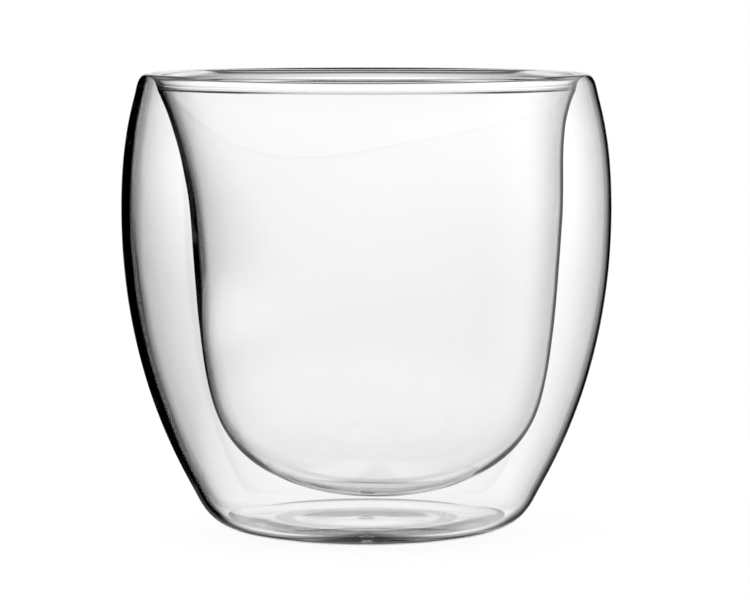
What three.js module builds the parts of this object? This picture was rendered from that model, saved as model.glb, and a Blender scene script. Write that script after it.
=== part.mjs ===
// A double-walled drinking cup of clear blown glass, in millimetres, +Z up.
// The outer shell and the inner bowl are two blown glasses, and a fused rim joins them over a closed air gap.
// A small plug closes the vent in the base. The origin is the middle of the ring that the cup stands on.
import * as THREE from "three";

// Heights
const HEIGHT = 84.5;
const RIM_HEIGHT = 2.8;
const BELLY_DROP = 22.3;
const HEEL_HEIGHT = 8.2;
const PUNT_RISE = 0.4;
const FLOOR_HEIGHT = 2.6;

// Radii of the outer shell: the belly is the widest ring, and the others are set in from it
const BELLY_RADIUS = 45;
const RIM_INSET = 2.8;
const HEEL_INSET = 13;
const FOOT_RADIUS = 17;
const FOOT_WIDTH = 3.5;

// Walls, and the air between them
const SHELL_WALL = 1.2;
const BOWL_WALL = 0.7;
const RIM_GAP = 2.5;
const NECK_GAP = 9.3;
const TURN_GAP = 14;
const FLOOR_GAP = 4.4;

// The inner bowl: its neck below the rim, the turn of its wall into its round bottom, and its place off the axis
const NECK_DROP = 19.3;
const TURN_RISE = 15.7;
const BOWL_OFFSET = 1.8;
const OFFSET_DEPTH = 24;

// The vent and its plug
const VENT_RADIUS = 1.1;
const PLUG_CLEARANCE = 0.1;
const PLUG_HEAD_RADIUS = 1.6;
const PLUG_HEAD_THICKNESS = 0.25;
const PLUG_SEAT_MARGIN = 1.4;

// Directions of the walls where their curves join, in degrees up from straight outwards
const LEVEL = 0;
const HEEL_ANGLE = 62;
const UPRIGHT = 90;
const RIM_ANGLE = 102;
const TURN_ANGLE = 70;
const NECK_ANGLE = 85.5;
const LIP_ANGLE = 61.5;
const HALF_TURN = 180;

// Sides round the axis
const SIDES = 48;
const PLUG_SIDES = 24;

// Sizes that follow from the ones above
const weldHeight = HEIGHT - RIM_HEIGHT;
const rimRadius = BELLY_RADIUS - RIM_INSET;
const shellRimInner = rimRadius - levelThickness(SHELL_WALL, RIM_ANGLE);
const lipRadius = shellRimInner - RIM_GAP;
const lipInner = lipRadius - levelThickness(BOWL_WALL, LIP_ANGLE);
const bowlBottom = FLOOR_HEIGHT + FLOOR_GAP;
const plugSeatRadius = PLUG_HEAD_RADIUS + PLUG_SEAT_MARGIN;

// How thick a wall is when it is cut level where it runs in this direction.
function levelThickness(wall, angle) {
  return wall / Math.sin(THREE.MathUtils.degToRad(angle));
}

// A step of this length in this direction.
function step(angle, length) {
  const a = THREE.MathUtils.degToRad(angle);
  return new THREE.Vector2(Math.cos(a), Math.sin(a)).multiplyScalar(length);
}

// A ring that an outline passes: its radius and height, the direction of the wall there, and how far the curve
// holds that direction before and after it, as shares of the straight way to the next ring.
function ring(radius, height, angle, before, after) {
  return { at: new THREE.Vector2(radius, height), angle, before, after };
}

// The smooth curve from one ring to the next.
function curveBetween(a, b) {
  const way = a.at.distanceTo(b.at);
  const leave = a.at.clone().add(step(a.angle, way * a.after));
  const arrive = b.at.clone().sub(step(b.angle, way * b.before));
  return new THREE.CubicBezierCurve(a.at, leave, arrive, b.at);
}

// The curves through a row of rings.
function curvesThrough(rings) {
  return rings.slice(1).map((b, i) => curveBetween(rings[i], b));
}

// Points along curves that follow on from each other, each with its number of steps. With a wall, the points lie
// that far to the left of the curves, which is the inner face of a wall whose outline runs upwards.
function pointsAlong(curves, steps, wall = 0) {
  return curves.flatMap((curve, i) => {
    const first = i === 0 ? 0 : 1;
    return Array.from({ length: steps[i] + 1 - first }, (_, k) => {
      const t = (k + first) / steps[i];
      const tangent = curve.getTangent(t);
      return curve.getPoint(t).add(new THREE.Vector2(-tangent.y, tangent.x).multiplyScalar(wall));
    });
  });
}

// The inner face of a wall from its foot to the level of the weld, where it is cut at the given radius.
function innerFace(curves, steps, wall, rimInner) {
  const below = pointsAlong(curves, steps, wall).filter((p) => p.y < weldHeight - wall / 2);
  return [...below, new THREE.Vector2(rimInner, weldHeight)];
}

// A turned solid, standing on +Z, from an outline that runs up its outer side.
function turned(outline, sides) {
  return new THREE.LatheGeometry(outline, sides).rotateX(Math.PI / 2);
}

// An outline that ends where it starts, for a ring with a hole along its axis.
function closed(outline) {
  return [...outline, outline[0].clone()];
}

// The outer shell runs from the vent over the punt, the standing ring, the heel and the belly to the weld. Its base
// is thicker than its wall, with a nearly level floor inside.
function outerShell() {
  const rings = [
    ring(plugSeatRadius, PUNT_RISE, LEVEL, 0, 0.4),
    ring(FOOT_RADIUS - FOOT_WIDTH, 0, LEVEL, 0.4, 1 / 3),
    ring(FOOT_RADIUS, 0, LEVEL, 1 / 3, 0.66),
    ring(BELLY_RADIUS - HEEL_INSET, HEEL_HEIGHT, HEEL_ANGLE, 0.28, 0.11),
    ring(BELLY_RADIUS, weldHeight - BELLY_DROP, UPRIGHT, 0.54, 0.59),
    ring(rimRadius, weldHeight, RIM_ANGLE, 0.16, 0),
  ];
  const curves = curvesThrough(rings);
  const steps = [4, 1, 7, 8, 6];
  const vent = new THREE.Vector2(VENT_RADIUS, PUNT_RISE);
  const ventTop = new THREE.Vector2(VENT_RADIUS, FLOOR_HEIGHT);
  const wall = innerFace(curves, steps, SHELL_WALL, shellRimInner).filter((p) => p.y > FLOOR_HEIGHT);
  const inside = [ventTop, ...wall];
  return turned(closed([vent, ...pointsAlong(curves, steps), ...inside.reverse()]), SIDES);
}

// The inner bowl hangs from the weld. Below its lip it was set a little to one side when the rim was fused.
function innerBowl() {
  const rings = [
    ring(0, bowlBottom, LEVEL, 0, 0.27),
    ring(BELLY_RADIUS - SHELL_WALL - TURN_GAP, bowlBottom + TURN_RISE, TURN_ANGLE, 0.43, 0.23),
    ring(BELLY_RADIUS - SHELL_WALL - NECK_GAP, weldHeight - NECK_DROP, NECK_ANGLE, 0.32, 0.32),
    ring(lipRadius, weldHeight, LIP_ANGLE, 0.28, 0),
  ];
  const curves = curvesThrough(rings);
  const steps = [9, 6, 6];
  const inside = innerFace(curves, steps, BOWL_WALL, lipInner);
  const bowl = turned([...pointsAlong(curves, steps), ...inside.reverse()], SIDES);
  return shifted(bowl);
}

// The bowl moved off the axis, from nothing at the weld to its full offset further down.
function shifted(geometry) {
  const place = geometry.getAttribute("position");
  for (let i = 0; i < place.count; i++) {
    const depth = weldHeight - place.getZ(i);
    const share = THREE.MathUtils.smoothstep(depth, 0, OFFSET_DEPTH);
    place.setX(i, place.getX(i) + BOWL_OFFSET * share);
  }
  return geometry;
}

// The fused rim sits on the cut tops of both walls, with a round drinking edge and a groove over the air gap.
function rimWeld() {
  const crestRadius = (rimRadius + lipInner) / 2;
  const outside = curveBetween(
    ring(rimRadius, weldHeight, RIM_ANGLE, 0, 0.4),
    ring(crestRadius, HEIGHT, HALF_TURN, 0.4, 0),
  );
  const inside = curveBetween(
    ring(crestRadius, HEIGHT, HALF_TURN, 0, 0.5),
    ring(lipInner, weldHeight, -UPRIGHT, 0.45, 0),
  );
  const groove = curveBetween(
    ring(lipRadius, weldHeight, LIP_ANGLE, 0, 1.06),
    ring(shellRimInner, weldHeight, RIM_ANGLE + HALF_TURN, 1.06, 0),
  );
  const crown = pointsAlong([outside, inside], [5, 5]);
  return turned(closed([...crown, ...pointsAlong([groove], [7])]), SIDES);
}

// The plug's stem fills the vent, and its head lies under the base, inside the punt.
function ventPlug() {
  const stemRadius = VENT_RADIUS - PLUG_CLEARANCE;
  const headBottom = PUNT_RISE - PLUG_HEAD_THICKNESS;
  const outline = [
    [0, headBottom],
    [PLUG_HEAD_RADIUS - PLUG_HEAD_THICKNESS / 2, headBottom],
    [PLUG_HEAD_RADIUS, headBottom + PLUG_HEAD_THICKNESS / 2],
    [PLUG_HEAD_RADIUS, PUNT_RISE],
    [stemRadius, PUNT_RISE],
    [stemRadius, FLOOR_HEIGHT],
    [0, FLOOR_HEIGHT],
  ];
  return turned(outline.map(([r, z]) => new THREE.Vector2(r, z)), PLUG_SIDES);
}

// Clear glass, which is nearly colourless, and soft grey silicone.
const glass = new THREE.MeshStandardMaterial({
  color: 0xf4f6f6,
  roughness: 0.02,
  metalness: 0,
  transparent: true,
  opacity: 0.3,
});
const silicone = new THREE.MeshStandardMaterial({ color: 0xb9bab6, roughness: 0.55, metalness: 0 });

// One named piece of the cup.
function piece(name, geometry, material) {
  const mesh = new THREE.Mesh(geometry, material);
  mesh.name = name;
  return mesh;
}

const cup = new THREE.Group();
cup.add(
  piece("outer_shell", outerShell(), glass.clone()),
  piece("inner_bowl", innerBowl(), glass.clone()),
  piece("rim_weld", rimWeld(), glass.clone()),
  piece("vent_plug", ventPlug(), silicone),
);

export default cup;
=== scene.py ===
"""Looks of a double-walled glass cup: two blown walls, their fused rim and the plug in the base."""

import math
from collections import namedtuple

import bmesh
import bpy
from bpy.props import FloatProperty, FloatVectorProperty, IntProperty, PointerProperty
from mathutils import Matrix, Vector
from mathutils.geometry import interpolate_bezier


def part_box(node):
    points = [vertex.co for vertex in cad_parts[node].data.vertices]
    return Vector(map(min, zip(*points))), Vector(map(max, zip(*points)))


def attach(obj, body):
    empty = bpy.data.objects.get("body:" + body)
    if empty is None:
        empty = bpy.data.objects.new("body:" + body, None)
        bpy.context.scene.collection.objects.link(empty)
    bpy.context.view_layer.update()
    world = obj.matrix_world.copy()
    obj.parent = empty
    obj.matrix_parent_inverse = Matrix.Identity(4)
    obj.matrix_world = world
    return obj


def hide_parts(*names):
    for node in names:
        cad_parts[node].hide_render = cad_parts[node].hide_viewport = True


bl_info = {
    "name": "Double-walled glass cup",
    "version": (1, 0, 0),
    "blender": (4, 5, 0),
    "location": "View3D > Sidebar > Cup",
    "description": "Builds a double-walled cup of blown glass around its packed frame",
    "category": "Object",
}

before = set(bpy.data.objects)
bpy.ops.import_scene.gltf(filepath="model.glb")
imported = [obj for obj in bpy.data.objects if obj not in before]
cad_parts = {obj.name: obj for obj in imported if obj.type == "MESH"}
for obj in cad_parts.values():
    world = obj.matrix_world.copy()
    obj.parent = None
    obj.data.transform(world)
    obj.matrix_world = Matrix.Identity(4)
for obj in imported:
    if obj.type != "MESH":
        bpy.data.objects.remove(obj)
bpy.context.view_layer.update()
SHELL_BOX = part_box("outer_shell")
BOWL_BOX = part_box("inner_bowl")
RIM_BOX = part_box("rim_weld")
PLUG_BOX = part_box("vent_plug")

# The widest ring of the cup, and the level where both walls run into the fused rim
BELLY_RADIUS = SHELL_BOX[1].x
WELD_HEIGHT = SHELL_BOX[1].z

MM = 0.001
IMAGE_WIDTH = 750
SENSOR_WIDTH = 36.0

# Directions of the walls where their curves join, in degrees up from straight outwards
LEVEL = 0.0
HEEL_ANGLE = 62.0
UPRIGHT = 90.0
RIM_ANGLE = 102.0
TURN_ANGLE = 70.0
NECK_ANGLE = 85.5
LIP_ANGLE = 61.5
HALF_TURN = 180.0

# Steps along each curve of the outlines, and sides of the plug and the floor
SHELL_STEPS = (16, 4, 36, 48, 32)
BOWL_STEPS = (44, 32, 36)
CROWN_STEPS = (32, 32)
GROOVE_STEPS = (32,)
PLUG_SIDES = 48
FLOOR_SIDES = 96

# Points this close are one point, and faces this close to the weld's level lie in it, in millimetres
MERGE_DISTANCE = 0.00001
WELD_TOLERANCE = 0.001
# Edges that bend by less than this are smooth, in degrees
SMOOTH_ANGLE = 25.0
# How far the middle of the bead inside the lip lies above the weld, in halves of the bead's width
BEAD_PLACE = 1.5

# How thick the left side of each wall is where the glass ran as it was blown: shares of the wall's thickness
# at shares of the weld's height
SHELL_LEFT = ((0.1, 1.0), (0.3, 1.12), (0.85, 1.12), (1, 1.0))
BOWL_LEFT = ((0.1, 1.0), (0.25, 0.6), (0.38, 0.6), (0.6, 1.35), (0.9, 1.0), (1, 1.0))

# Waves in blown glass, and the grain of the mould that the plug came from, in millimetres
WAVE_LENGTH = 11.0
WAVE_HEIGHT = 0.03
GRAIN = 0.12
GRAIN_HEIGHT = 0.01
# How much the materials bend light, and the plug's roughness at the two ends of its grain
GLASS_IOR = 1.47
SILICONE_IOR = 1.41
SILICONE_ROUGHNESS = (0.42, 0.62)

# How often light is followed through the glass, and how often when it is mirrored
BOUNCES = 32
MIRROR_BOUNCES = 16

# The studio that only the glass shows. Each profile below is a row of angles in degrees, each with a
# brightness or a share. Angles are taken round from straight behind the cup to the right, or up from level.

# The backdrop seen straight through the glass, round: a lit field that falls off to a wide black flag on its
# left, and to grey on its right
BACKDROP = (
    (-60, 0.0), (-14, 0.02), (-12.5, 0.3), (-11, 0.7), (-10, 0.76), (-7.5, 0.78), (-6, 0.86), (-4, 0.96),
    (-2, 1.05), (4, 1.05), (8, 1.1), (14, 1.1), (20, 0.85), (27, 0.4), (60, 0.5),
)
# Two angles up, and how many degrees the backdrop and its flag lean to the left there
FLAG_LEAN = ((-4.8, 0.0), (-2, 4.0))
# The backdrop on each of the other seven sides, round from the middle of that side
HALF_SIDE = 22.5
OTHER_BACKDROPS = (
    (-HALF_SIDE, 0.0), (-10.5, 0.0), (-6.5, 0.6), (-2, 1.0), (8, 1.0), (12, 0.6), (16, 0.0), (HALF_SIDE, 0.0),
)
# Where those sides begin, and where mirrored light counts as coming from in front, round to either side
ASIDE = ((38, 0.0), (42, 1.0))
IN_FRONT = ((60, 0.0), (75, 1.0))
# What the shell mirrors, round: the lit field behind it between black flags, a light on the right, and the
# dark room in front
MIRRORED = (
    (-180, 0.1), (-95, 0.0), (-9, 0.0), (-6, 0.9), (-3, 1.0), (8, 1.0), (10.5, 0.0), (19, 0.0), (25, 0.35),
    (38, 0.8), (75, 0.85), (95, 0.85), (120, 0.1), (180, 0.1),
)
# What the bowl mirrors behind the shell, round
MIRRORED_INSIDE = (
    (-180, 1.1), (-60, 0.9), (-45, 0.4), (-32, 0.0), (-9, 0.0), (-6, 0.9), (-3, 1.0), (8, 1.0), (10.5, 0.0),
    (23, 0.0), (27, 0.8), (30, 0.9), (75, 1.1), (180, 1.1),
)
# What is left of the field after two mirrorings or more, round and up
MIRRORED_AGAIN = (
    (-180, 0.8), (-60, 0.8), (-40, 0.0), (-16, 0.0), (-9, 1.0), (9, 1.0), (16, 0.0), (40, 0.0), (60, 0.8),
    (180, 0.8),
)
AGAIN_HEIGHT = ((-90, 0.0), (-22, 0.0), (-18, 0.4), (-12, 0.4), (-9, 0.0), (6, 0.0), (10, 0.15), (90, 0.15))
# How much of the flags there is, up
FLAG_REACH = ((-60, 0.0), (-40, 0.0), (-32, 0.3), (-26, 1.0), (12, 1.0), (25, 0.6), (45, 0.2))
# How bright the backdrop and what is above it are, up: seen straight, mirrored, and mirrored from in front
ROOF = (
    (-90, 0.95), (-12, 0.97), (-5, 1.0), (-2.6, 1.12), (9, 1.08), (12.5, 0.5), (14, 0.05), (24, 0.05),
    (28, 0.8), (45, 0.8), (60, 0.3), (90, 0.3),
)
MIRRORED_ROOF = ((-90, 0.95), (-12, 1.0), (22, 1.0), (32, 0.06), (90, 0.06))
FRONT_ROOF = ((-90, 0.45), (-52, 0.45), (-12, 1.1), (90, 1.1))
# The dark gaps below and above the backdrop: how much of them there is round, how much there is up where they
# are mirrored by the shell, mirrored by the bowl and seen straight, and how bright they are
GAP_WIDTH = ((-16, 0.0), (-9, 1.0), (9, 1.0), (16, 0.0))
GAP_MIRRORED = ((-90, 1.0), (-30, 1.0), (-24, 0.0), (90, 0.0))
GAP_INSIDE = ((-90, 0.0), (12, 0.0), (14, 1.0), (20, 1.0), (22, 0.0), (90, 0.0))
GAP_STRAIGHT = ((-90, 0.0), (-58, 0.0), (-54, 1.0), (-37, 1.0), (-32, 0.0), (90, 0.0))
GAP_LIGHT = 0.02

# The name of each profile and the angle that it is read at
PROFILES = (
    ("main", "askew", BACKDROP),
    ("around", "folded", OTHER_BACKDROPS),
    ("aside", "turn", ASIDE),
    ("front", "turn", IN_FRONT),
    ("mirrored", "bearing", MIRRORED),
    ("inside", "bearing", MIRRORED_INSIDE),
    ("again_round", "bearing", MIRRORED_AGAIN),
    ("again_height", "climb", AGAIN_HEIGHT),
    ("reach", "climb", FLAG_REACH),
    ("roof", "climb", ROOF),
    ("mirrored_roof", "climb", MIRRORED_ROOF),
    ("front_roof", "climb", FRONT_ROOF),
    ("gap_width", "bearing", GAP_WIDTH),
    ("gap_mirrored", "climb", GAP_MIRRORED),
    ("gap_inside", "climb", GAP_INSIDE),
    ("gap_straight", "climb", GAP_STRAIGHT),
)
# Kinds of light, told by how often it was mirrored, or bent on its way through the faces of the walls
KINDS = (
    ("straight", "LESS_THAN", "Glossy Depth", 0.5),
    ("twice", "GREATER_THAN", "Glossy Depth", 1.5),
    ("within", "GREATER_THAN", "Transmission Depth", 3.5),
    ("bowl_only", "GREATER_THAN", "Transmission Depth", 4.5),
)
# Shares and lights that are made of two others
PAIRS = (
    ("deep", "MAXIMUM", "twice", "within"),
    ("plain", "SUBTRACT", "front", "straight"),
    ("again", "MULTIPLY", "again_round", "again_height"),
)
# Lights that a share changes from one to another, in the order in which they build on each other
MIXES = (
    ("seen_straight", "aside", "main", "around"),
    ("once", "within", "mirrored", "inside"),
    ("mirrorings", "twice", "once", "again"),
    ("flags", "straight", "mirrorings", "seen_straight"),
    ("shade", "reach", "full", "flags"),
    ("above", "deep", "mirrored_roof", "full"),
    ("overhead", "straight", "above", "roof"),
    ("roofs", "plain", "overhead", "front_roof"),
    ("mirrored_gap", "bowl_only", "gap_mirrored", "gap_inside"),
    ("gap_depth", "straight", "mirrored_gap", "gap_straight"),
)

Ring = namedtuple("Ring", "at angle before after")


def linear(hex_colour):
    """An sRGB hex colour as linear red, green, blue and alpha."""
    out = []
    for place in (0, 2, 4):
        value = int(hex_colour[place:place + 2], 16) / 255
        out.append(value / 12.92 if value <= 0.04045 else ((value + 0.055) / 1.055) ** 2.4)
    return (*out, 1.0)


WHITE = linear("FFFFFF")


class CupSizes(bpy.types.PropertyGroup):
    """Sizes of the glass that the frame's boxes don't give."""

    shell_wall: FloatProperty(
        name="Shell wall", description="Thickness of the outer wall", default=1.2 * MM, unit="LENGTH"
    )
    bowl_wall: FloatProperty(
        name="Bowl wall", description="Thickness of the inner wall", default=0.7 * MM, unit="LENGTH"
    )
    belly_drop: FloatProperty(
        name="Belly drop", description="Widest ring below the weld", default=22.3 * MM, unit="LENGTH"
    )
    heel_height: FloatProperty(
        name="Heel height", description="Height where the heel ends", default=8.2 * MM, unit="LENGTH"
    )
    heel_inset: FloatProperty(
        name="Heel inset", description="Heel inside the widest ring", default=13 * MM, unit="LENGTH"
    )
    foot_radius: FloatProperty(
        name="Foot radius", description="Outside of the standing ring", default=17 * MM, unit="LENGTH"
    )
    foot_width: FloatProperty(
        name="Foot width", description="Width of the standing ring", default=3.5 * MM, unit="LENGTH"
    )
    punt_rise: FloatProperty(
        name="Punt rise", description="Height that the base is pushed up", default=0.4 * MM, unit="LENGTH"
    )
    plug_seat: FloatProperty(
        name="Plug seat", description="Radius of the flat that the plug's head lies against",
        default=3 * MM, unit="LENGTH"
    )
    floor_height: FloatProperty(
        name="Floor height", description="Top of the thick base, inside the shell",
        default=2.6 * MM, unit="LENGTH"
    )
    vent_radius: FloatProperty(
        name="Vent radius", description="Radius of the hole in the base", default=1.1 * MM, unit="LENGTH"
    )
    rim_gap: FloatProperty(
        name="Rim gap", description="Air between the walls at the weld", default=2.5 * MM, unit="LENGTH"
    )
    bead: FloatProperty(
        name="Bead", description="Depth of the faint bead inside the lip", default=0.2 * MM, unit="LENGTH"
    )
    bead_width: FloatProperty(
        name="Bead width", description="Half the width of that bead", default=0.25 * MM, unit="LENGTH"
    )
    neck_gap: FloatProperty(
        name="Neck gap", description="Air between the belly and the bowl's neck",
        default=9.3 * MM, unit="LENGTH"
    )
    neck_drop: FloatProperty(
        name="Neck drop", description="The bowl's neck below the weld", default=19.3 * MM, unit="LENGTH"
    )
    turn_gap: FloatProperty(
        name="Turn gap", description="Air between the belly and the bowl's turn",
        default=14 * MM, unit="LENGTH"
    )
    turn_rise: FloatProperty(
        name="Turn rise", description="The bowl's turn above its bottom", default=15.7 * MM, unit="LENGTH"
    )
    bowl_offset: FloatProperty(
        name="Bowl offset", description="How far the bowl sits off the axis", default=1.8 * MM, unit="LENGTH"
    )
    offset_depth: FloatProperty(
        name="Offset depth", description="Depth below the weld where the offset is full",
        default=24 * MM, unit="LENGTH"
    )
    plug_clearance: FloatProperty(
        name="Plug clearance", description="Air round the plug's stem", default=0.1 * MM, unit="LENGTH"
    )
    sides: IntProperty(name="Sides", description="Steps round each glass piece", default=192, min=24)


class CupColours(bpy.types.PropertyGroup):
    """Colours of the materials and the stage."""

    glass: FloatVectorProperty(
        name="Glass", description="Tint of the glass", subtype="COLOR", size=4, default=linear("FCFCFC")
    )
    glass_shadow: FloatVectorProperty(
        name="Glass shadow", description="Tint of light that falls through the glass",
        subtype="COLOR", size=4, default=linear("FAFAFA")
    )
    silicone: FloatVectorProperty(
        name="Silicone", description="Colour of the plug", subtype="COLOR", size=4, default=linear("B9BAB6")
    )
    silicone_pale: FloatVectorProperty(
        name="Pale silicone", description="Colour of the plug's paler grain", subtype="COLOR", size=4,
        default=linear("CDCECA")
    )
    floor: FloatVectorProperty(
        name="Floor", description="Colour of the floor", subtype="COLOR", size=4, default=linear("F4F4F4")
    )


class StageSettings(bpy.types.PropertyGroup):
    """Camera, floor and light."""

    camera_distance: FloatProperty(
        name="Camera distance", description="From the cup's axis, level", default=0.740, unit="LENGTH"
    )
    camera_height: FloatProperty(
        name="Camera height", description="Above the floor", default=0.10424, unit="LENGTH"
    )
    aim_height: FloatProperty(
        name="Aim height", description="Height that the camera looks at", default=0.04274, unit="LENGTH"
    )
    aim_right: FloatProperty(
        name="Aim right", description="How far right of the axis the camera looks",
        default=0.00156, unit="LENGTH"
    )
    focal_pixels: FloatProperty(
        name="Focal length in pixels", description="Of an image 750 pixels wide",
        default=4033.9, subtype="PIXEL"
    )
    floor_radius: FloatProperty(
        name="Floor radius", description="Radius of the round floor", default=0.16, unit="LENGTH"
    )
    floor_white: FloatProperty(
        name="Floor white", description="Share of the floor that is white in any light",
        default=0.85, subtype="FACTOR"
    )
    lamp_place: FloatVectorProperty(
        name="Lamp place", description="Where the softbox hangs", size=3,
        default=(-0.15, 0.1, 0.9), subtype="TRANSLATION", unit="LENGTH"
    )
    lamp_size: FloatProperty(
        name="Lamp size", description="Width of the round softbox", default=0.6, unit="LENGTH"
    )
    lamp_power: FloatProperty(
        name="Lamp power", description="Power of the softbox", default=3.0, unit="POWER"
    )


def heading(angle):
    """One step in a direction of an outline, which is drawn as radius and height."""
    turn = math.radians(angle)
    return Vector((math.cos(turn), math.sin(turn)))


def ring(radius, height, angle, before, after):
    """A ring that an outline passes, and the shares of the way to its neighbours that hold its direction."""
    return Ring(Vector((radius, height)), angle, before, after)


def curve_points(rings, steps):
    """Points along the smooth curves through a row of rings, with the number of steps of each."""
    points = [rings[0].at]
    for a, b, count in zip(rings, rings[1:], steps):
        way = (b.at - a.at).length
        leave = a.at + heading(a.angle) * way * a.after
        arrive = b.at - heading(b.angle) * way * b.before
        points += interpolate_bezier(a.at, leave, arrive, b.at, count + 1)[1:]
    return points


def eased(share):
    """A share of the way, held between none and all of it and eased at both ends."""
    held = min(1.0, max(0.0, share))
    return held * held * (3 - 2 * held)


def between(stops, at):
    """The value at a place on a line through the given stops, eased from each stop to the next."""
    for (start, low), (end, high) in zip(stops, stops[1:]):
        if at <= end:
            return low + (high - low) * eased((at - start) / (end - start))
    return stops[-1][1]


def inner_face(points, wall, rim_inner):
    """The inner side of a wall whose outer side is given, up to the level cut at the weld."""
    inside = []
    for before, at, after in zip([points[0], *points], points, [*points[1:], points[-1]]):
        along = (after - before).normalized()
        inside.append(at + Vector((-along.y, along.x)) * wall)
    below = [p for p in inside if p.y < WELD_HEIGHT - wall / 2]
    return [*below, Vector((rim_inner, WELD_HEIGHT))]


def level_thickness(wall, angle):
    """How thick a wall is when it is cut level where it runs in this direction."""
    return wall / math.sin(math.radians(angle))


def add_object(name, data):
    """Puts a new object into the scene."""
    item = bpy.data.objects.new(name, data)
    bpy.context.scene.collection.objects.link(item)
    return item


def add_mesh(name, bm):
    """Puts what was built in a bmesh into the scene."""
    mesh = bpy.data.meshes.new(name)
    bm.to_mesh(mesh)
    bm.free()
    return add_object(name, mesh)


def turned_piece(name, outline, closed, sides):
    """A solid turned from an outline that is closed, or that starts and ends on the axis.

    Faces that lie in the weld take its second material.
    """
    bm = bmesh.new()
    verts = [bm.verts.new((p.x, 0, p.y)) for p in outline]
    edges = [bm.edges.new(pair) for pair in zip(verts, verts[1:])]
    if closed:
        edges.append(bm.edges.new((verts[-1], verts[0])))
    bmesh.ops.spin(
        bm, geom=[*verts, *edges], cent=(0, 0, 0), axis=(0, 0, 1), dvec=(0, 0, 0),
        angle=math.tau, steps=sides, use_merge=True, use_duplicate=False,
    )
    bmesh.ops.remove_doubles(bm, verts=bm.verts, dist=MERGE_DISTANCE * MM)
    bmesh.ops.recalc_face_normals(bm, faces=bm.faces)
    for edge in bm.edges:
        edge.smooth = edge.calc_face_angle(0) < math.radians(SMOOTH_ANGLE)
    for face in bm.faces:
        face.smooth = True
        if all(abs(v.co.z - WELD_HEIGHT) < WELD_TOLERANCE * MM for v in face.verts):
            face.material_index = 1
    return add_mesh(name, bm)


def vary_left(piece, wall, shares):
    """Moves the inner face of a wall on its left side, so that its thickness there takes the given shares."""
    moves = []
    for vert in piece.data.vertices:
        across = Vector((vert.co.x, vert.co.y, 0))
        if across.length and vert.normal.dot(across) < 0:
            left = max(0.0, -across.normalized().x)
            inwards = wall * (between(shares, vert.co.z / WELD_HEIGHT) - 1) * left * left
            moves.append((vert, across.normalized() * inwards))
    for vert, move in moves:
        vert.co -= move


def dress(piece, node, slot, *materials):
    """Gives a piece its materials, and puts it in the place of its CAD node."""
    for material in materials:
        piece.data.materials.append(material)
    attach(piece, "root")
    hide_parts(node)


def add_node(tree, kind, settings=None, **links):
    """Adds a node with its settings, and links or sets its inputs by name, or by number as in i0."""
    node = tree.nodes.new(kind)
    for name, value in (settings or {}).items():
        setattr(node, name, value)
    for name, value in links.items():
        key = int(name[1:]) if name[1:].isdigit() else name.replace("_", " ")
        if isinstance(value, bpy.types.NodeSocket):
            tree.links.new(value, node.inputs[key])
        else:
            node.inputs[key].default_value = value
    return node


def new_material(name):
    """A material with an empty node tree."""
    material = bpy.data.materials.new(name)
    material.use_nodes = True
    material.node_tree.nodes.clear()
    return material


def blown_borosilicate(colours):
    """Borosilicate glass, blown and fire-polished: clear, very smooth, and a little wavy."""
    name = "Borosilicate glass, blown and fire-polished"
    if name in bpy.data.materials:
        return bpy.data.materials[name]
    material = new_material(name)
    tree = material.node_tree
    place = add_node(tree, "ShaderNodeTexCoord")
    waves = add_node(
        tree, "ShaderNodeTexNoise", Vector=place.outputs["Object"], Scale=1 / (WAVE_LENGTH * MM), Detail=1.0
    )
    wavy = add_node(tree, "ShaderNodeBump", Distance=WAVE_HEIGHT * MM, Height=waves.outputs["Fac"])
    shader = add_node(
        tree, "ShaderNodeBsdfPrincipled", Base_Color=colours.glass, Roughness=0.0, IOR=GLASS_IOR,
        Transmission_Weight=1.0, Normal=wavy.outputs["Normal"],
    )
    path = add_node(tree, "ShaderNodeLightPath")
    clear = add_node(tree, "ShaderNodeBsdfTransparent", Color=colours.glass_shadow)
    mix = add_node(
        tree, "ShaderNodeMixShader",
        i0=path.outputs["Is Shadow Ray"], i1=shader.outputs[0], i2=clear.outputs[0],
    )
    add_node(tree, "ShaderNodeOutputMaterial", Surface=mix.outputs[0])
    return material


def fused_seam():
    """Where two walls have melted into the rim there is no surface to see."""
    name = "Fused seam, no surface"
    if name in bpy.data.materials:
        return bpy.data.materials[name]
    material = new_material(name)
    tree = material.node_tree
    shader = add_node(tree, "ShaderNodeBsdfPrincipled", Alpha=0.0)
    add_node(tree, "ShaderNodeOutputMaterial", Surface=shader.outputs[0])
    return material


def moulded_silicone(colours):
    """Silicone, moulded: soft grey and matt."""
    material = new_material("Silicone, moulded")
    tree = material.node_tree
    place = add_node(tree, "ShaderNodeTexCoord")
    grain = add_node(
        tree, "ShaderNodeTexNoise", Vector=place.outputs["Object"], Scale=1 / (GRAIN * MM), Detail=2.0
    )
    cloudy = add_node(
        tree, "ShaderNodeMix", {"data_type": "RGBA"},
        i0=grain.outputs["Fac"], i6=colours.silicone, i7=colours.silicone_pale,
    )
    smoothest, roughest = SILICONE_ROUGHNESS
    dull = add_node(
        tree, "ShaderNodeMapRange", Value=grain.outputs["Fac"], To_Min=smoothest, To_Max=roughest
    )
    rough = add_node(tree, "ShaderNodeBump", Distance=GRAIN_HEIGHT * MM, Height=grain.outputs["Fac"])
    shader = add_node(
        tree, "ShaderNodeBsdfPrincipled", Base_Color=cloudy.outputs[2], Roughness=dull.outputs[0],
        IOR=SILICONE_IOR, Normal=rough.outputs["Normal"],
    )
    add_node(tree, "ShaderNodeOutputMaterial", Surface=shader.outputs[0])
    return material


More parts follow.
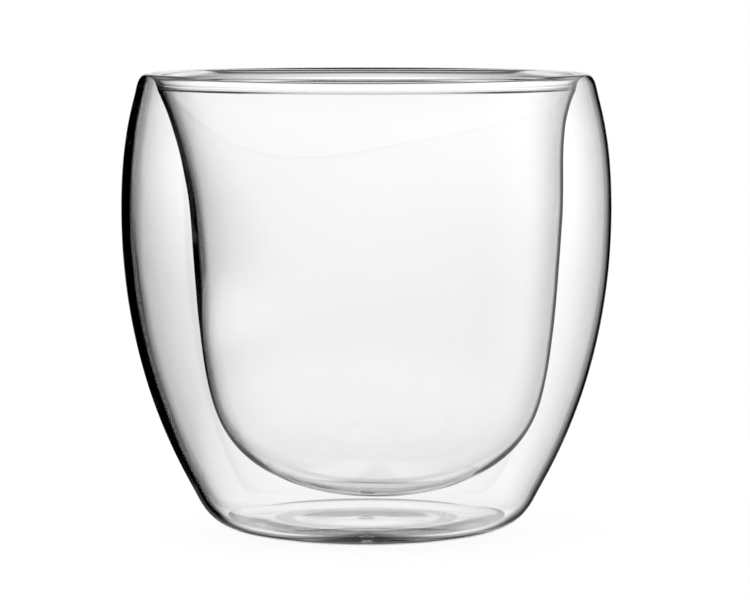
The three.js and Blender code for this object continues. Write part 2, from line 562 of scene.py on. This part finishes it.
def rim_radii(sizes):
    """Radii at the weld, from outside in: the shell's two faces, then the bowl's two faces."""
    outside = RIM_BOX[1].x
    shell_inner = outside - level_thickness(sizes.shell_wall, RIM_ANGLE)
    lip = shell_inner - sizes.rim_gap
    return outside, shell_inner, lip, lip - level_thickness(sizes.bowl_wall, LIP_ANGLE)


class CUP_OT_outer_shell(bpy.types.Operator):
    """Build the blown outer wall, from the vent in its base up to the weld"""

    bl_idname = "cup.outer_shell"
    bl_label = "Outer shell"

    def execute(self, context):
        sizes = context.scene.cup_sizes
        outside, inside, _, _ = rim_radii(sizes)
        rings = [
            ring(sizes.plug_seat, sizes.punt_rise, LEVEL, 0, 0.4),
            ring(sizes.foot_radius - sizes.foot_width, 0, LEVEL, 0.4, 1 / 3),
            ring(sizes.foot_radius, 0, LEVEL, 1 / 3, 0.66),
            ring(BELLY_RADIUS - sizes.heel_inset, sizes.heel_height, HEEL_ANGLE, 0.28, 0.11),
            ring(BELLY_RADIUS, WELD_HEIGHT - sizes.belly_drop, UPRIGHT, 0.54, 0.59),
            ring(outside, WELD_HEIGHT, RIM_ANGLE, 0.16, 0),
        ]
        face = curve_points(rings, SHELL_STEPS)
        vent = Vector((sizes.vent_radius, sizes.punt_rise))
        vent_top = Vector((sizes.vent_radius, sizes.floor_height))
        wall = inner_face(face, sizes.shell_wall, inside)
        back = [vent_top, *[p for p in wall if p.y > sizes.floor_height]]
        shell = turned_piece("outer_shell_glass", [vent, *face, *reversed(back)], True, sizes.sides)
        vary_left(shell, sizes.shell_wall, SHELL_LEFT)
        glass = blown_borosilicate(context.scene.cup_colours)
        dress(shell, "outer_shell", "clear_glass", glass, fused_seam())
        return {"FINISHED"}


class CUP_OT_inner_bowl(bpy.types.Operator):
    """Build the blown inner wall that holds the drink, a little off the axis below its lip"""

    bl_idname = "cup.inner_bowl"
    bl_label = "Inner bowl"

    def execute(self, context):
        sizes = context.scene.cup_sizes
        bottom = BOWL_BOX[0].z
        reach = BELLY_RADIUS - sizes.shell_wall
        _, _, lip, inside = rim_radii(sizes)
        rings = [
            ring(0, bottom, LEVEL, 0, 0.27),
            ring(reach - sizes.turn_gap, bottom + sizes.turn_rise, TURN_ANGLE, 0.43, 0.23),
            ring(reach - sizes.neck_gap, WELD_HEIGHT - sizes.neck_drop, NECK_ANGLE, 0.32, 0.32),
            ring(lip, WELD_HEIGHT, LIP_ANGLE, 0.28, 0),
        ]
        face = curve_points(rings, BOWL_STEPS)
        back = inner_face(face, sizes.bowl_wall, inside)
        bowl = turned_piece("inner_bowl_glass", [*face, *reversed(back)], False, sizes.sides)
        vary_left(bowl, sizes.bowl_wall, BOWL_LEFT)
        for vert in bowl.data.vertices:
            vert.co.x += sizes.bowl_offset * eased((WELD_HEIGHT - vert.co.z) / sizes.offset_depth)
        glass = blown_borosilicate(context.scene.cup_colours)
        dress(bowl, "inner_bowl", "clear_glass", glass, fused_seam())
        return {"FINISHED"}


class CUP_OT_rim_weld(bpy.types.Operator):
    """Build the fused rim, with its round drinking edge and the groove over the air gap"""

    bl_idname = "cup.rim_weld"
    bl_label = "Rim weld"

    def execute(self, context):
        sizes = context.scene.cup_sizes
        outside, shell_inner, lip, inside = rim_radii(sizes)
        crest = (outside + inside) / 2
        crown_rings = [
            ring(outside, WELD_HEIGHT, RIM_ANGLE, 0, 0.4),
            ring(crest, RIM_BOX[1].z, HALF_TURN, 0.4, 0.5),
            ring(inside, WELD_HEIGHT, -UPRIGHT, 0.45, 0),
        ]
        groove_rings = [
            ring(lip, WELD_HEIGHT, LIP_ANGLE, 0, 1.06),
            ring(shell_inner, WELD_HEIGHT, RIM_ANGLE + HALF_TURN, 1.06, 0),
        ]
        crown = curve_points(crown_rings, CROWN_STEPS)
        for point in crown:
            if point.x < crest:
                rise = (point.y - WELD_HEIGHT) / sizes.bead_width
                point.x -= sizes.bead * math.exp(-((rise - BEAD_PLACE) ** 2))
        groove = curve_points(groove_rings, GROOVE_STEPS)
        rim = turned_piece("rim_weld_glass", [*crown, *groove], True, sizes.sides)
        glass = blown_borosilicate(context.scene.cup_colours)
        dress(rim, "rim_weld", "clear_glass", glass, fused_seam())
        return {"FINISHED"}


class CUP_OT_vent_plug(bpy.types.Operator):
    """Build the silicone plug, with its stem in the vent and its head under the base"""

    bl_idname = "cup.vent_plug"
    bl_label = "Vent plug"

    def execute(self, context):
        sizes = context.scene.cup_sizes
        low, high = PLUG_BOX
        stem = sizes.vent_radius - sizes.plug_clearance
        seat = sizes.punt_rise
        outline = [(0, low.z), (high.x, low.z), (high.x, seat), (stem, seat), (stem, high.z), (0, high.z)]
        plug = turned_piece("vent_plug_silicone", [Vector(p) for p in outline], False, PLUG_SIDES)
        dress(plug, "vent_plug", "silicone", moulded_silicone(context.scene.cup_colours))
        return {"FINISHED"}


def studio_angles(tree):
    """Angles of the way that light comes from, in radians, by the names that the profiles use."""
    way = add_node(tree, "ShaderNodeTexCoord")
    split = add_node(tree, "ShaderNodeSeparateXYZ", Vector=way.outputs["Generated"])
    bearing = add_node(
        tree, "ShaderNodeMath", {"operation": "ARCTAN2"}, i0=split.outputs["X"], i1=split.outputs["Y"]
    )
    turn = add_node(tree, "ShaderNodeMath", {"operation": "ABSOLUTE"}, i0=bearing.outputs[0])
    folded = add_node(
        tree, "ShaderNodeMath", {"operation": "WRAP"},
        i0=bearing.outputs[0], i1=math.radians(HALF_SIDE), i2=math.radians(-HALF_SIDE),
    )
    climb = add_node(tree, "ShaderNodeMath", {"operation": "ARCSINE"}, i0=split.outputs["Z"])
    (low, upright), (high, lean) = FLAG_LEAN
    leant = add_node(
        tree, "ShaderNodeMapRange", Value=climb.outputs[0],
        From_Min=math.radians(low), From_Max=math.radians(high),
        To_Min=math.radians(upright), To_Max=math.radians(lean),
    )
    askew = add_node(
        tree, "ShaderNodeMath", {"operation": "ADD"}, i0=bearing.outputs[0], i1=leant.outputs[0]
    )
    nodes = {"bearing": bearing, "turn": turn, "folded": folded, "climb": climb, "askew": askew}
    return {name: node.outputs[0] for name, node in nodes.items()}


def profile_lights(tree):
    """What each profile gives on the way that light comes from."""
    angles = studio_angles(tree)
    lights = {}
    for name, angle, stops in PROFILES:
        start, end = stops[0][0], stops[-1][0]
        share = add_node(
            tree, "ShaderNodeMapRange", Value=angles[angle],
            From_Min=math.radians(start), From_Max=math.radians(end),
        )
        ramp = add_node(tree, "ShaderNodeValToRGB", Fac=share.outputs[0])
        elements = ramp.color_ramp.elements
        elements.remove(elements[1])
        elements[0].color = (*[stops[0][1]] * 3, 1)
        for at, light in stops[1:]:
            elements.new((at - start) / (end - start)).color = (light, light, light, 1)
        lights[name] = ramp.outputs["Color"]
    return lights


def studio_light(tree, path):
    """How bright the studio is that the glass shows, by the way and the kind of the light."""
    lights = {"full": 1.0, **profile_lights(tree)}
    for name, test, count, limit in KINDS:
        kind = add_node(tree, "ShaderNodeMath", {"operation": test}, i0=path.outputs[count], i1=limit)
        lights[name] = kind.outputs[0]
    for name, operation, first, second in PAIRS:
        pair = add_node(
            tree, "ShaderNodeMath", {"operation": operation, "use_clamp": True},
            i0=lights[first], i1=lights[second],
        )
        lights[name] = pair.outputs[0]
    for name, share, first, second in MIXES:
        mix = add_node(tree, "ShaderNodeMix", Factor=lights[share], A=lights[first], B=lights[second])
        lights[name] = mix.outputs["Result"]
    lit = add_node(
        tree, "ShaderNodeMath", {"operation": "MULTIPLY"}, i0=lights["shade"], i1=lights["roofs"]
    )
    gap = add_node(
        tree, "ShaderNodeMath", {"operation": "MULTIPLY"}, i0=lights["gap_width"], i1=lights["gap_depth"]
    )
    shown = add_node(tree, "ShaderNodeMix", Factor=gap.outputs[0], A=lit.outputs[0], B=GAP_LIGHT)
    return shown.outputs["Result"]


def studio_world(scene):
    """White, and through the glass a lit backdrop between black flags, as glass is photographed."""
    world = bpy.data.worlds.new("Studio")
    scene.world = world
    world.use_nodes = True
    tree = world.node_tree
    tree.nodes.clear()
    path = add_node(tree, "ShaderNodeLightPath")
    seen = add_node(
        tree, "ShaderNodeMath", {"operation": "MAXIMUM"},
        i0=path.outputs["Is Glossy Ray"], i1=path.outputs["Is Transmission Ray"],
    )
    white = add_node(tree, "ShaderNodeBackground", Color=WHITE, Strength=1.0)
    through = add_node(tree, "ShaderNodeBackground", Color=studio_light(tree, path), Strength=1.0)
    mix = add_node(
        tree, "ShaderNodeMixShader", i0=seen.outputs[0], i1=white.outputs[0], i2=through.outputs[0]
    )
    add_node(tree, "ShaderNodeOutputWorld", Surface=mix.outputs[0])


def pale_floor(settings, colours):
    """A round floor that only the camera sees, nearly white, with the cup's soft shadow."""
    bm = bmesh.new()
    bmesh.ops.create_circle(bm, cap_ends=True, segments=FLOOR_SIDES, radius=settings.floor_radius)
    floor = add_mesh("floor", bm)
    material = new_material("Floor, pale and matt")
    tree = material.node_tree
    path = add_node(tree, "ShaderNodeLightPath")
    matt = add_node(tree, "ShaderNodeBsdfDiffuse", Color=colours.floor)
    white = add_node(tree, "ShaderNodeEmission", Color=WHITE, Strength=1.0)
    lit = add_node(
        tree, "ShaderNodeMixShader", i0=settings.floor_white, i1=matt.outputs[0], i2=white.outputs[0]
    )
    none = add_node(tree, "ShaderNodeBsdfTransparent")
    out = add_node(
        tree, "ShaderNodeMixShader", i0=path.outputs["Is Camera Ray"], i1=none.outputs[0], i2=lit.outputs[0]
    )
    add_node(tree, "ShaderNodeOutputMaterial", Surface=out.outputs[0])
    floor.data.materials.append(material)


def aim(item, place, target):
    """Puts a lamp or a camera in its place, and turns it to look at a point."""
    item.location = place
    item.rotation_euler = (target - item.location).to_track_quat("-Z", "Y").to_euler()


class CUP_OT_stage(bpy.types.Operator):
    """Build the floor, the light and the camera"""

    bl_idname = "cup.stage"
    bl_label = "Stage"

    def execute(self, context):
        scene = context.scene
        settings = scene.cup_stage
        studio_world(scene)
        pale_floor(settings, scene.cup_colours)
        lamp = bpy.data.lights.new("overhead_softbox", "AREA")
        lamp.shape = "DISK"
        lamp.size = settings.lamp_size
        lamp.energy = settings.lamp_power
        softbox = add_object("overhead_softbox", lamp)
        softbox.visible_glossy = False
        softbox.visible_transmission = False
        aim(softbox, settings.lamp_place, Vector((0, 0, 0)))
        camera = bpy.data.cameras.new("camera")
        camera.sensor_width = SENSOR_WIDTH
        camera.lens = settings.focal_pixels * SENSOR_WIDTH / IMAGE_WIDTH
        scene.camera = add_object("camera", camera)
        place = (0, -settings.camera_distance, settings.camera_height)
        aim(scene.camera, place, Vector((settings.aim_right, 0, settings.aim_height)))
        scene.view_settings.view_transform = "Standard"
        scene.cycles.max_bounces = BOUNCES
        scene.cycles.transmission_bounces = BOUNCES
        scene.cycles.transparent_max_bounces = BOUNCES
        scene.cycles.glossy_bounces = MIRROR_BOUNCES
        return {"FINISHED"}


class CUP_PT_pieces(bpy.types.Panel):
    """Lists the cup's pieces and sizes in the sidebar"""

    bl_idname = "CUP_PT_pieces"
    bl_label = "Double-walled cup"
    bl_space_type = "VIEW_3D"
    bl_region_type = "UI"
    bl_category = "Cup"

    def draw(self, context):
        for operator in OPERATORS:
            self.layout.operator(operator.bl_idname)
        for group in (context.scene.cup_sizes, context.scene.cup_colours, context.scene.cup_stage):
            for name in group.bl_rna.properties.keys():
                if name not in ("name", "rna_type"):
                    self.layout.prop(group, name)


GROUPS = (CupSizes, CupColours, StageSettings)
OPERATORS = (CUP_OT_stage, CUP_OT_outer_shell, CUP_OT_inner_bowl, CUP_OT_rim_weld, CUP_OT_vent_plug)


def register():
    """Adds the cup's settings, operators and panel."""
    for item in (*GROUPS, *OPERATORS, CUP_PT_pieces):
        bpy.utils.register_class(item)
    bpy.types.Scene.cup_sizes = PointerProperty(type=CupSizes)
    bpy.types.Scene.cup_colours = PointerProperty(type=CupColours)
    bpy.types.Scene.cup_stage = PointerProperty(type=StageSettings)


def unregister():
    """Takes away what register adds."""
    del bpy.types.Scene.cup_stage
    del bpy.types.Scene.cup_colours
    del bpy.types.Scene.cup_sizes
    for item in reversed((*GROUPS, *OPERATORS, CUP_PT_pieces)):
        bpy.utils.unregister_class(item)


def main():
    """Builds the stage and the pieces."""
    register()
    bpy.ops.cup.stage()
    bpy.ops.cup.outer_shell()
    bpy.ops.cup.inner_bowl()
    bpy.ops.cup.rim_weld()
    bpy.ops.cup.vent_plug()


if __name__ == "__main__":
    main()
